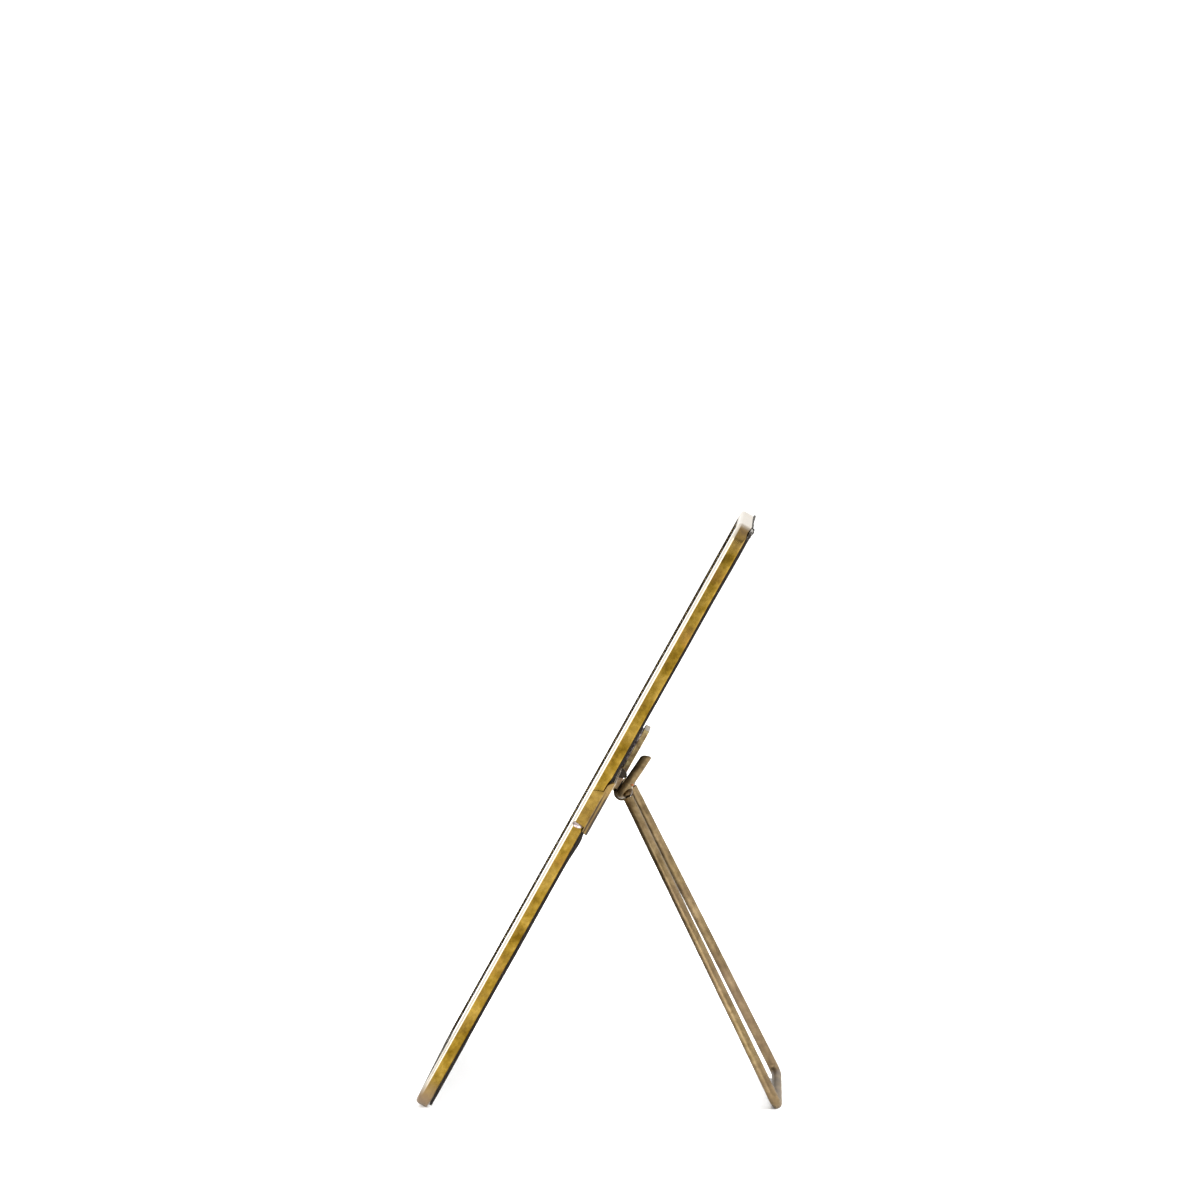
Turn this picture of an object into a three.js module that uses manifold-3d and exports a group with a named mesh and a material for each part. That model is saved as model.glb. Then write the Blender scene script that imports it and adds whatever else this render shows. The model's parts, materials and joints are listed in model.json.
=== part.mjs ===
// A brass and glass photo frame that stands on a wire easel leg.
// Millimetres and degrees. +Z is up, the width runs along X and the glazed front faces -Y.
// The frame is drawn upright, front face on the XZ plane, and then leant back to stand.

import * as THREE from 'three';
import { mergeVertices } from 'three/addons/utils/BufferGeometryUtils.js';
import Module from 'manifold-3d';

const wasm = await Module();
wasm.setup();

// Rim: an angle section with its lip at the front, bent round in two halves
const WIDTH = 134;
const HEIGHT = 184;
const RIM_DEPTH = 3.8;
const SHEET = 0.8;
const LIP = 2.6;
const CORNER_RADIUS = 5;
const EDGE_BEVEL = 0.35;
const SEAM_HEIGHT = 95.5;
const SEAM_GAP = 0.1;
const LEAN = 25.9;

// What lies in the rim, from the front
const FILM_GAP = 0.05;
const SIDE_PLAY = 0.15;
const GLASS = 2;
const PRINT = 0.2;
const CARD = 0.6;

// Backing board, which slides up between the rim and the strap. Its lower corners follow the rim's.
const BOARD = 0.8;
const BOARD_WIDTH = 132.8;
const BOARD_BOTTOM = 1.2;
const BOARD_TOP = 185;
const BOARD_PLAY = 0.1;

// Strap across the back, with an end tab folded forward over each side of the rim
const STRAP = 0.8;
const STRAP_BOTTOM = 88.3;
const STRAP_TOP = 104.8;
const STRAP_BEND = 0.6;
const TAB_BOTTOM = 90;
const TAB_TOP = 101;
const TAB_FRONT = 0.25;

// Hinge plate: a thick leaf, and a thinner tongue on its back rolled into a knuckle round the wire
const LEAF = 1.7;
const LEAF_SEAT = 0.1;
const LEAF_WIDTH = 20;
const LEAF_TOP = 116.8;
const LEAF_DROP = 0.9;
const TONGUE = 0.9;
const KNUCKLE_CLEARANCE = 0.1;
const KNUCKLE_ROLL = 298;
const PIVOT_HEIGHT = 98.1;

// Easel: a pivot wire with one end bent up as a tail, and a U of wire brazed to it by the ends of
// its two spreading legs, a little behind the line of the pivot
const WIRE_RADIUS = 1.5;
const WIRE_BEND = 3;
const LEG_LENGTH = 97.8;
const PIVOT_HALF = 17;
const FOOT_HALF = 29.8;
const TAIL_LENGTH = 13;
const TAIL_TILT = 4.6;
const LEG_END_GAP = 1.9;
const LEG_END_OFFSET = 1.4;

// Lumps of solder and braze
const TAB_BEAD = { radii: [0.75, 1.7, 1], depth: 1.7 };
const PLATE_SOLDER = { half: 9.6, below: 2, boardGap: 0.35 };
const STOP_BEAD = { radius: 1.5, above: 5.3, tailGap: 0.05 };
const BRAZE_BEAD = { radius: 2.1, back: 1.9, drop: 0.6 };

// How finely round shapes are drawn, how near two corners count as one, and how far a cut runs past
// the faces that it opens. Blocks that only cut are twice as wide as the frame.
const ROUND_SIDES = 16;
const ARC_STEPS = 8;
const BEND_STEPS = 6;
const BEVEL_STEPS = 2;
const MERGE_DISTANCE = 1e-4;
const CUT_PAST = 1;
const rad = THREE.MathUtils.degToRad;

// Depths of the layers behind the front face, each worked out from the one before it
const glassFront = SHEET + FILM_GAP;
const printFront = glassFront + GLASS + FILM_GAP;
const cardFront = printFront + PRINT + FILM_GAP;
const boardFront = RIM_DEPTH + FILM_GAP;
const boardBack = boardFront + BOARD;
const strapFront = boardBack + BOARD_PLAY;
const strapBack = strapFront + STRAP;
const leafFront = strapBack + LEAF_SEAT;
const leafBack = leafFront + LEAF;
const knuckleInner = WIRE_RADIUS + KNUCKLE_CLEARANCE;
const knuckleOuter = knuckleInner + TONGUE;
const pivotDepth = leafBack + knuckleInner;
const leafBottom = PIVOT_HEIGHT - LEAF_DROP;
const tabInner = WIDTH / 2 + FILM_GAP;
const tabOuter = tabInner + STRAP;

const finishes = {
  brass: { color: 0x987430, roughness: 0.38, metalness: 1 },
  wireBrass: { color: 0x8c6e42, roughness: 0.34, metalness: 1 },
  dullBrass: { color: 0x7a6650, roughness: 0.5, metalness: 1 },
  solder: { color: 0xb4a5a2, roughness: 0.4, metalness: 1 },
  braze: { color: 0xa8653a, roughness: 0.42, metalness: 1 },
  glass: { color: 0xe8f2ee, roughness: 0.03, metalness: 0, transparent: true, opacity: 0.35 },
  paper: { color: 0xe9e3d6, roughness: 0.8, metalness: 0 },
  card: { color: 0xa59c8c, roughness: 0.9, metalness: 0 },
  board: { color: 0x15120f, roughness: 0.85, metalness: 0 },
};

// Closed geometry as a manifold-3d solid, and a solid as geometry

function toSolid(geometry) {
  const bare = geometry.clone();
  bare.deleteAttribute('normal');
  bare.deleteAttribute('uv');
  const merged = mergeVertices(bare, MERGE_DISTANCE);
  const mesh = new wasm.Mesh({
    numProp: 3,
    vertProperties: merged.attributes.position.array,
    triVerts: new Uint32Array(merged.index.array),
  });
  return new wasm.Manifold(mesh);
}

function toGeometry(solid) {
  const mesh = solid.getMesh();
  const geometry = new THREE.BufferGeometry();
  geometry.setAttribute('position', new THREE.BufferAttribute(mesh.vertProperties, 3));
  geometry.setIndex(new THREE.BufferAttribute(mesh.triVerts, 1));
  geometry.computeVertexNormals();
  return geometry;
}

// A box between two corners
function block(low, high) {
  const size = high.map((value, axis) => value - low[axis]);
  const middle = high.map((value, axis) => (value + low[axis]) / 2);
  return new THREE.BoxGeometry(...size).translate(...middle);
}

// The outline of the frame in the XZ plane, set in by a margin
function outline(margin) {
  const side = WIDTH / 2 - margin;
  const top = HEIGHT - margin;
  const radius = CORNER_RADIUS - margin;
  const shape = new THREE.Shape();
  shape.absarc(side - radius, margin + radius, radius, -Math.PI / 2, 0);
  shape.absarc(side - radius, top - radius, radius, 0, Math.PI / 2);
  shape.absarc(radius - side, top - radius, radius, Math.PI / 2, Math.PI);
  shape.absarc(radius - side, margin + radius, radius, Math.PI, Math.PI * 1.5);
  shape.closePath();
  return shape;
}

function boardOutline() {
  const half = BOARD_WIDTH / 2;
  const radius = CORNER_RADIUS - (WIDTH / 2 - half);
  const shape = new THREE.Shape();
  shape.moveTo(half, BOARD_TOP);
  shape.lineTo(-half, BOARD_TOP);
  shape.absarc(radius - half, BOARD_BOTTOM + radius, radius, Math.PI, Math.PI * 1.5);
  shape.absarc(half - radius, BOARD_BOTTOM + radius, radius, -Math.PI / 2, 0);
  shape.closePath();
  return shape;
}

// An outline drawn in X and Z, thickened from one depth to another
function slab(shape, front, back, bevel = 0) {
  const geometry = new THREE.ExtrudeGeometry(shape, {
    depth: back - front - 2 * bevel,
    bevelEnabled: bevel > 0,
    bevelThickness: bevel,
    bevelSize: bevel,
    bevelSegments: BEVEL_STEPS,
    curveSegments: ARC_STEPS,
  });
  return geometry.rotateX(Math.PI / 2).translate(0, back - bevel, 0);
}

function ellipsoid(centre, radii) {
  const ball = new THREE.SphereGeometry(1, ROUND_SIDES, ROUND_SIDES / 2);
  return ball.scale(...radii).translate(...centre);
}

// Rim

function wholeRim() {
  const bar = toSolid(slab(outline(EDGE_BEVEL), 0, RIM_DEPTH, EDGE_BEVEL));
  const rebate = toSolid(slab(outline(SHEET), SHEET, RIM_DEPTH + CUT_PAST));
  const window = toSolid(slab(outline(LIP), -CUT_PAST, SHEET + CUT_PAST));
  return bar.subtract(rebate).subtract(window);
}

function rimHalf(bottom, top) {
  const keep = block([-WIDTH, -CUT_PAST, bottom], [WIDTH, RIM_DEPTH + CUT_PAST, top]);
  return toGeometry(wholeRim().intersect(toSolid(keep)));
}

// Strap: a U section in the XY plane, run up the height of the strap and cut away beside the tabs

function strapSection() {
  const outerBend = STRAP_BEND + STRAP;
  const shape = new THREE.Shape();
  shape.moveTo(tabOuter, TAB_FRONT);
  shape.absarc(tabOuter - outerBend, strapBack - outerBend, outerBend, 0, Math.PI / 2);
  shape.absarc(outerBend - tabOuter, strapBack - outerBend, outerBend, Math.PI / 2, Math.PI);
  shape.lineTo(-tabOuter, TAB_FRONT);
  shape.lineTo(-tabInner, TAB_FRONT);
  shape.absarc(STRAP_BEND - tabInner, strapFront - STRAP_BEND, STRAP_BEND, Math.PI, Math.PI / 2, true);
  shape.absarc(tabInner - STRAP_BEND, strapFront - STRAP_BEND, STRAP_BEND, Math.PI / 2, 0, true);
  shape.lineTo(tabInner, TAB_FRONT);
  shape.closePath();
  return shape;
}

function backStrap() {
  const run = { depth: STRAP_TOP - STRAP_BOTTOM, bevelEnabled: false, curveSegments: BEND_STEPS };
  const band = new THREE.ExtrudeGeometry(strapSection(), run).translate(0, 0, STRAP_BOTTOM);
  const below = block([-WIDTH, -CUT_PAST, STRAP_BOTTOM - CUT_PAST], [WIDTH, RIM_DEPTH, TAB_BOTTOM]);
  const above = block([-WIDTH, -CUT_PAST, TAB_TOP], [WIDTH, RIM_DEPTH, STRAP_TOP + CUT_PAST]);
  return toGeometry(toSolid(band).subtract(toSolid(below)).subtract(toSolid(above)));
}

// A run of solder along the lower edge of a tab
function tabSolder(side) {
  const bead = ellipsoid([side * tabInner, TAB_BEAD.depth, TAB_BOTTOM], TAB_BEAD.radii);
  const rimSide = block([-tabInner, -CUT_PAST, 0], [tabInner, RIM_DEPTH, HEIGHT]);
  const tab = block([-WIDTH, -CUT_PAST, TAB_BOTTOM - FILM_GAP], [WIDTH, RIM_DEPTH, TAB_TOP]);
  return toGeometry(toSolid(bead).subtract(toSolid(rimSide)).subtract(toSolid(tab)));
}

// Hinge plate: the tongue starts on the back of the leaf and rolls under, behind and over the wire

function knuckleSection() {
  const rollEnd = Math.PI + rad(KNUCKLE_ROLL);
  const rootTop = PIVOT_HEIGHT + knuckleOuter;
  const shape = new THREE.Shape();
  shape.moveTo(leafBack, rootTop);
  shape.lineTo(leafBack - TONGUE, rootTop);
  shape.absarc(pivotDepth, PIVOT_HEIGHT, knuckleOuter, Math.PI, rollEnd);
  shape.absarc(pivotDepth, PIVOT_HEIGHT, knuckleInner, rollEnd, Math.PI, true);
  shape.closePath();
  return shape;
}

function hingePlate() {
  const run = { depth: LEAF_WIDTH, bevelEnabled: false, curveSegments: ROUND_SIDES };
  const roll = new THREE.ExtrudeGeometry(knuckleSection(), run);
  const axesTurn = new THREE.Matrix4().makeBasis(
    new THREE.Vector3(0, 1, 0),
    new THREE.Vector3(0, 0, 1),
    new THREE.Vector3(1, 0, 0),
  );
  roll.applyMatrix4(axesTurn).translate(-LEAF_WIDTH / 2, 0, 0);
  const leaf = block([-LEAF_WIDTH / 2, leafFront, leafBottom], [LEAF_WIDTH / 2, leafBack, LEAF_TOP]);
  return toGeometry(toSolid(roll).add(toSolid(leaf)));
}

// Solder run up behind the leaf from the top edge of the strap, clear of the sliding board
function plateSolder() {
  const { half, below, boardGap } = PLATE_SOLDER;
  const low = [-half, boardBack + boardGap, STRAP_TOP + FILM_GAP];
  const high = [half, leafFront - FILM_GAP, LEAF_TOP - below];
  return block(low, high);
}

// A lump on the strap beside the leaf, tall enough for the tail to come to rest on
function stopBead() {
  const { radius, above, tailGap } = STOP_BEAD;
  const foot = strapBack + FILM_GAP;
  const tailMiddle = pivotDepth + above * Math.tan(rad(TAIL_TILT));
  const rise = tailMiddle - WIRE_RADIUS / Math.cos(rad(TAIL_TILT)) - tailGap - foot;
  const dome = ellipsoid([PIVOT_HALF, foot, PIVOT_HEIGHT + above], [radius, rise, radius]);
  const strap = block([0, 0, STRAP_BOTTOM], [WIDTH / 2, foot, LEAF_TOP]);
  return toGeometry(toSolid(dome).subtract(toSolid(strap)));
}

// The centre line of a bent wire: straight runs, and an arc of the same radius at each corner.
// Equal steps of the parameter land on the stations, which are close together only in the bends.
class BentLine extends THREE.Curve {
  constructor(corners, radius) {
    super();
    const last = corners.length - 1;
    const heading = (i) => corners[i + 1].clone().sub(corners[i]).normalize();
    this.stations = [{ point: corners[0], tangent: heading(0) }];
    for (let i = 1; i < last; i += 1) {
      this.addBend(corners[i], heading(i - 1), heading(i), radius);
    }
    this.stations.push({ point: corners[last], tangent: heading(last - 1) });
  }

  addBend(corner, into, out, radius) {
    const turn = into.angleTo(out);
    const axis = into.clone().cross(out).normalize();
    const start = corner.clone().addScaledVector(into, -radius * Math.tan(turn / 2));
    const centre = axis.clone().cross(into).multiplyScalar(radius).add(start);
    for (let step = 0; step <= BEND_STEPS; step += 1) {
      const angle = (turn * step) / BEND_STEPS;
      const point = start.clone().sub(centre).applyAxisAngle(axis, angle).add(centre);
      this.stations.push({ point, tangent: into.clone().applyAxisAngle(axis, angle) });
    }
  }

  between(t, key) {
    const place = t * (this.stations.length - 1);
    const index = Math.min(Math.floor(place), this.stations.length - 2);
    const next = this.stations[index + 1][key];
    return this.stations[index][key].clone().lerp(next, place - index);
  }

  getPoint(t) {
    return this.between(t, 'point');
  }

  getTangent(t) {
    return this.between(t, 'tangent').normalize();
  }

  getUtoTmapping(u) {
    return u;
  }
}

function wire(corners, radius) {
  const line = new BentLine(corners, WIRE_BEND);
  return new THREE.ExtrudeGeometry(new THREE.Shape().absarc(0, 0, radius, 0, Math.PI * 2), {
    steps: line.stations.length - 1,
    curveSegments: ROUND_SIDES / 2,
    extrudePath: line,
  });
}

// The easel is drawn with its pivot on the X axis and its legs hanging down

function pivotWire(legAngle, radius) {
  const tailAngle = rad(LEAN + TAIL_TILT) + legAngle;
  const tail = new THREE.Vector3(0, Math.sin(tailAngle), Math.cos(tailAngle));
  const elbow = new THREE.Vector3(PIVOT_HALF, 0, 0);
  const farEnd = new THREE.Vector3(-PIVOT_HALF - WIRE_RADIUS, 0, 0);
  return wire([tail.multiplyScalar(TAIL_LENGTH).add(elbow), elbow, farEnd], radius);
}

function legWire(radius, endGap) {
  const side = (sign) => {
    const foot = new THREE.Vector3(sign * FOOT_HALF, 0, -LEG_LENGTH);
    const joint = new THREE.Vector3(sign * PIVOT_HALF, LEG_END_OFFSET, 0);
    const downLeg = foot.clone().sub(joint).normalize();
    return { foot, end: joint.addScaledVector(downLeg, endGap) };
  };
  const right = side(1);
  const left = side(-1);
  return wire([right.end, right.foot, left.foot, left.end], radius);
}

// The lump of braze at the top of a leg, hollowed where the two wires pass through it
function brazeBead(side, legAngle) {
  const { radius, back, drop } = BRAZE_BEAD;
  const lump = toSolid(ellipsoid([side * PIVOT_HALF, back, -drop], [radius, radius, radius]));
  const pivotHole = toSolid(pivotWire(legAngle, WIRE_RADIUS + FILM_GAP));
  const legHole = toSolid(legWire(WIRE_RADIUS + FILM_GAP, LEG_END_GAP - FILM_GAP));
  const pieces = lump.subtract(pivotHole).subtract(legHole).decompose();
  const largest = pieces.reduce((a, b) => (a.volume() > b.volume() ? a : b));
  return toGeometry(largest);
}

function addPart(group, name, geometry, finish) {
  const mesh = new THREE.Mesh(geometry, new THREE.MeshStandardMaterial(finishes[finish]));
  mesh.name = name;
  group.add(mesh);
}

function uprightFrame() {
  const group = new THREE.Group();
  const inset = SHEET + SIDE_PLAY;
  addPart(group, 'rim_upper', rimHalf(SEAM_HEIGHT + SEAM_GAP / 2, HEIGHT + CUT_PAST), 'brass');
  addPart(group, 'rim_lower', rimHalf(-CUT_PAST, SEAM_HEIGHT - SEAM_GAP / 2), 'brass');
  addPart(group, 'glass_pane', slab(outline(inset), glassFront, glassFront + GLASS), 'glass');
  addPart(group, 'picture_print', slab(outline(inset), printFront, printFront + PRINT), 'paper');
  addPart(group, 'filler_card', slab(outline(inset), cardFront, cardFront + CARD), 'card');
  addPart(group, 'backing_board', slab(boardOutline(), boardFront, boardBack), 'board');
  addPart(group, 'back_strap', backStrap(), 'brass');
  addPart(group, 'tab_solder_right', tabSolder(1), 'solder');
  addPart(group, 'tab_solder_left', tabSolder(-1), 'solder');
  addPart(group, 'hinge_plate', hingePlate(), 'dullBrass');
  addPart(group, 'plate_solder', plateSolder(), 'solder');
  addPart(group, 'stop_bead', stopBead(), 'solder');
  return group;
}

function easel(legAngle) {
  const group = new THREE.Group();
  addPart(group, 'pivot_wire', pivotWire(legAngle, WIRE_RADIUS), 'wireBrass');
  addPart(group, 'leg_wire', legWire(WIRE_RADIUS, LEG_END_GAP), 'wireBrass');
  addPart(group, 'braze_right', brazeBead(1, legAngle), 'braze');
  addPart(group, 'braze_left', brazeBead(-1, legAngle), 'braze');
  return group;
}

// Lean the frame back until its lowest edge is on the ground, swing the leg until the foot bar is
// too, and centre the whole over the origin.
function standingFrame() {
  const frame = uprightFrame();
  frame.rotation.x = -rad(LEAN);
  frame.position.z = -new THREE.Box3().setFromObject(frame, true).min.z;
  frame.updateMatrixWorld(true);
  const pivot = frame.localToWorld(new THREE.Vector3(0, pivotDepth, PIVOT_HEIGHT));
  const legAngle = Math.acos((pivot.z - WIRE_RADIUS) / LEG_LENGTH);
  const leg = easel(legAngle);
  leg.rotation.x = legAngle;
  leg.position.copy(pivot);
  const stand = new THREE.Group();
  stand.add(frame, leg);
  const middle = new THREE.Box3().setFromObject(stand, true).getCenter(new THREE.Vector3());
  stand.position.set(-middle.x, -middle.y, 0);
  return stand;
}

export default standingFrame();
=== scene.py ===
"""Looks for a brass and glass photo frame that stands on a folding wire easel leg.

The pieces are drawn in millimetres in the leaning frame: x across it, depth behind its front face and
rise up its back. place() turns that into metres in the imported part's frame.
"""
import json
import math

import bmesh
import bpy
from mathutils import Matrix, Quaternion, Vector, noise


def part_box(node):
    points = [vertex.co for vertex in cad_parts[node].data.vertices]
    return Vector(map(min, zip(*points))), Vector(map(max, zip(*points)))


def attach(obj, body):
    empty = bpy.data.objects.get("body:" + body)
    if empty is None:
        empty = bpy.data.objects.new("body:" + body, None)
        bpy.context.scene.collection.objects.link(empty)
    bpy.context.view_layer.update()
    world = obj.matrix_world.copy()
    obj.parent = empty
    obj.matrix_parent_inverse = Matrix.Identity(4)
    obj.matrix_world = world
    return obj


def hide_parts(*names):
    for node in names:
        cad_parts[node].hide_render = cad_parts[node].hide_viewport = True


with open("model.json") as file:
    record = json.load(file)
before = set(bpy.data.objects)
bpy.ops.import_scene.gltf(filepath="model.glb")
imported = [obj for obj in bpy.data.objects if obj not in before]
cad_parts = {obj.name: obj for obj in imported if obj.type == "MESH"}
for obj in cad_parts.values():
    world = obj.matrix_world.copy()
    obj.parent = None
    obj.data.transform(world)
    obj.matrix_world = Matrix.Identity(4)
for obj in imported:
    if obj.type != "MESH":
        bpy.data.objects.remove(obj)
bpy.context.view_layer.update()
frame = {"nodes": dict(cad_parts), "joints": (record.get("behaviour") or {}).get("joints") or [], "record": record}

MM = 0.001

# Sizes are in millimetres and angles in degrees, unless a comment says otherwise.

# Rim
LIP = 2.6
LIP_THICKNESS = 0.4
FRONT_ROUNDING = 1.0
BACK_ROUNDING = 0.5
EDGE_ROUNDING = 0.14
CORNER = 5
CORNER_STEPS = 14
STATION_STEP = 1.6
UPPER_SWELL = 0.08
LOWER_SINK = 0.1

# Glass, print and backing board
GLASS_CORNER = 4
GLASS_CHAMFER = 0.25
PRINT_CORNER = 3
PRINT_CHAMFER = 0.02
BOARD_SHORT = 1.6
BOARD_STEP = 2
BOARD_FINE_STEP = 0.3
BOARD_COLUMNS = 24

# Strap across the back and its folded end tabs
STRAP_ROWS = 6
STRAP_CHAMFER = 0.13
BEND_RADIUS = 1.0
TAB_FRONT = 0.9
TAB_TOP_FRONT = 100.2
TAB_TOP_BACK = 101.3
TAB_BOTTOM_RISE = 90.0

# Hinge: leaf, rolled knuckle and the solder behind the leaf
LEAF_CHAMFER = 0.12
LEAF_STEP = 1.2
LEAF_RAISED = 0.25
LEAF_BELOW_SOLDER = 7.6
KNUCKLE_SHEET = 0.9
KNUCKLE_GAP = 0.1
KNUCKLE_ROLL = 298
KNUCKLE_TURNS = 40
KNUCKLE_STEPS = 20
FILM_COLUMNS = 44
FILM_ROWS = 28

# Easel: pivot wire with its tail, and the U of wire brazed to it
WIRE_RADIUS = 1.5
WIRE_SIDES = 24
WIRE_BEND = 3
PIVOT_STEP = 1.0
LEG_STEP = 1.5
FOOT_HALF = 29.8
TAIL_LENGTH = 12.45
TAIL_TILT = 4.6
TAIL_CUT = 0.42
TAIL_ROUNDING = 0.6
LEG_END_OFFSET = 1.4
LEG_END_GAP = 1.75

# Tones laid over the metals: wear, a painted highlight (sheen), and grime with painted shade; and what the noises
# in them are like
WORN_TONE = (0.27, 0.19, 0.13)
# Painted highlight: the pale tone laid on the rim's front shoulder and top face
SHEEN_TONE = (0.82, 0.77, 0.68)
# Grime and painted shade: a near-black tone laid on recesses, shaded sides and edges; it also dulls the finish
GRIME_AND_SHADE_TONE = (0.012, 0.009, 0.007)
GRIME_AND_SHADE_DULLS = 0.3
TOP_WEAR = 0.4
BOTTOM_WEAR = 0.9
WEAR_REACH = 9
FOOT_DARK_REACH = 14
PATCH_SCALE = 0.35
PATCH_BLUR = 0.16
SCRATCH_SCALE = 900

# Printed landscape: its white border as a share of the sheet, and its ridges from far to near
# as height, swing, detail, seed and colour
BORDER_ACROSS = 0.045
BORDER_UP = 0.032
RIDGES = (
    (0.5, 0.1, 4, 3, (0.16, 0.2, 0.24)),
    (0.4, 0.12, 3, 11, (0.07, 0.12, 0.12)),
    (0.26, 0.12, 2.5, 23, (0.1, 0.13, 0.04)),
    (0.12, 0.1, 3, 37, (0.035, 0.06, 0.02)),
)

# Camera: where it stands in metres from the foot of the front face, how it is turned, and its lens
CAMERA_OFFSET = (1.2614, 0.08656, 0.19968)
CAMERA_YAW = -2.0659
CAMERA_PITCH = 2.7665
CAMERA_ROLL = 3.2586
LENS = 131.11
SENSOR = 36

# Light tent: how bright it is all round, and how bright it looks in the gloss, open and to the side
WHITE_GLOW = 1.45
OPEN_GLOW = 1.35
SIDE_GLOW = 0.39

# Floor: metres from its middle to its edges
FLOOR_HALF = 6

# Lamps: name, place, target and size in metres, power in watts, and whether the gloss shows them
LAMPS = (
    ("key", (0.1, -1.6, 0.85), (0, 0, 0.1), (3.4, 0.5), 34, False),
    ("fill", (0.0, 2.0, 0.9), (0, 0, 0.1), (3.0, 0.8), 110, False),
    ("glint", (1.5, -0.75, 0.12), (0, 0, 0.08), (1.1, 1.1), 13, True),
    ("top", (0.0, 0.0, 2.0), (0, 0, 0.1), (1.6, 1.6), 14, False),
)

# Sockets of a colour Mix node, whose names repeat
MIX_FACTOR = 0
MIX_FIRST = 6
MIX_SECOND = 7
MIX_RESULT = 2

joints = {joint["name"]: joint for joint in frame["joints"]}
mounts = {mount["name"]: mount for mount in frame["record"]["mounts"]}
UP = Vector(joints["board_slide"]["axis"]).normalized()
BACK = Vector((0, UP.z, -UP.y))
ACROSS = Vector((1, 0, 0))
PIVOT = Vector(joints["easel_hinge"]["pos_m"])


def frame_coordinates(point, origin):
    """A point in metres as x, depth and rise in millimetres."""
    offset = Vector(point) - origin
    return Vector((offset.x, offset.dot(BACK), offset.dot(UP))) / MM


def frame_box(node, origin):
    """The low and high corners of a node in x, depth and rise."""
    points = [frame_coordinates(v.co, origin) for v in frame["nodes"][node].data.vertices]
    low = Vector(min(p[axis] for p in points) for axis in range(3))
    high = Vector(max(p[axis] for p in points) for axis in range(3))
    return low, high


def find_origin():
    """The foot of the front face, on the middle line of the frame."""
    foot = Vector(mounts["rim_foot"]["pos_m"])
    low, _ = frame_box("rim_lower", foot)
    return foot + BACK * low.y * MM


ORIGIN = find_origin()
BOX = {name: frame_box(name, ORIGIN) for name in frame["nodes"]}
HALF_WIDTH = BOX["rim_upper"][1].x
HEIGHT = BOX["rim_upper"][1].z
RIM_DEPTH = BOX["rim_upper"][1].y
SEAM = (BOX["rim_upper"][0].z + BOX["rim_lower"][1].z) / 2
PIVOT_LOCAL = frame_coordinates(PIVOT, ORIGIN)


def place(point):
    """x, depth and rise in millimetres as a point in metres."""
    x, depth, rise = point
    return ORIGIN + (ACROSS * x + BACK * depth + UP * rise) * MM


# Meshes

def make_piece(name, points, faces, finish, body, nodes, sharp=38):
    """A smooth-shaded piece that rides on a body and stands in for the given nodes."""
    mesh = bpy.data.meshes.new(name)
    mesh.from_pydata(points, [], faces)
    mesh.validate()
    mesh.polygons.foreach_set("use_smooth", [True] * len(mesh.polygons))
    mesh.set_sharp_from_angle(angle=math.radians(sharp))
    mesh.materials.append(finish)
    piece = bpy.data.objects.new(name, mesh)
    bpy.context.scene.collection.objects.link(piece)
    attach(piece, body)
    if nodes:
        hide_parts(*nodes)
    return piece


def sweep_faces(stations, sides):
    """Faces of a closed section swept along open stations, with both ends closed."""
    faces = []
    for i in range(stations - 1):
        for j in range(sides):
            k = (j + 1) % sides
            faces.append((i * sides + j, i * sides + k, (i + 1) * sides + k, (i + 1) * sides + j))
    faces.append(tuple(reversed(range(sides))))
    faces.append(tuple(range((stations - 1) * sides, stations * sides)))
    return faces


def wobble(point, size, scale=0.05):
    """A smooth random value between -size and size, from a place in millimetres."""
    return size * noise.noise(Vector(point) * scale)


# Node trees

def new_material(name):
    """A new material with its node tree and its shader."""
    material = bpy.data.materials.new(name)
    material.use_nodes = True
    tree = material.node_tree
    return material, tree, tree.nodes["Principled BSDF"]


def add_node(tree, kind, values=None, **settings):
    """A shader node with its socket values and its own settings."""
    node = tree.nodes.new("ShaderNode" + kind)
    for key, value in settings.items():
        setattr(node, key, value)
    for key, value in (values or {}).items():
        node.inputs[key].default_value = value
    return node


def join(tree, source, output, target, socket):
    tree.links.new(source.outputs[output], target.inputs[socket])


def object_space(tree, scale=(1, 1, 1)):
    """Coordinates that stay with the piece, stretched by scale."""
    coordinates = add_node(tree, "TexCoord")
    mapping = add_node(tree, "Mapping", {"Scale": scale})
    join(tree, coordinates, "Object", mapping, "Vector")
    return mapping


def noise_ramp(tree, space, scale, stops, detail=5, roughness=0.6):
    """Noise turned into colours or values through a ramp of (position, colour) stops."""
    texture = add_node(tree, "TexNoise", {"Scale": scale, "Detail": detail, "Roughness": roughness})
    join(tree, space, "Vector", texture, "Vector")
    ramp = add_node(tree, "ValToRGB")
    elements = ramp.color_ramp.elements
    while len(elements) < len(stops):
        elements.new(0.5)
    for element, (position, colour) in zip(elements, stops):
        element.position = position
        element.color = tuple(colour) + (1,)
    join(tree, texture, "Fac", ramp, "Fac")
    return texture, ramp


def grey(value):
    return (value, value, value)


def colour_output(node):
    return MIX_RESULT if node.bl_idname == "ShaderNodeMix" else "Color"


def mix_colours(tree, mask, mask_output, first, second, mode="MIX"):
    """first and second are nodes with a colour output; second may be a plain colour instead."""
    mix = add_node(tree, "Mix", data_type="RGBA", blend_type=mode)
    join(tree, mask, mask_output, mix, MIX_FACTOR)
    join(tree, first, colour_output(first), mix, MIX_FIRST)
    if isinstance(second, tuple):
        mix.inputs[MIX_SECOND].default_value = second + (1,)
    else:
        join(tree, second, colour_output(second), mix, MIX_SECOND)
    return mix


def set_roughness(tree, shader, texture, low, high, start=0.0, end=1.0):
    """Roughness from low to high while the texture goes from start to end."""
    limits = {"From Min": start, "From Max": end, "To Min": low, "To Max": high}
    rough = add_node(tree, "MapRange", limits)
    join(tree, texture, "Fac", rough, "Value")
    join(tree, rough, "Result", shader, "Roughness")


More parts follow.
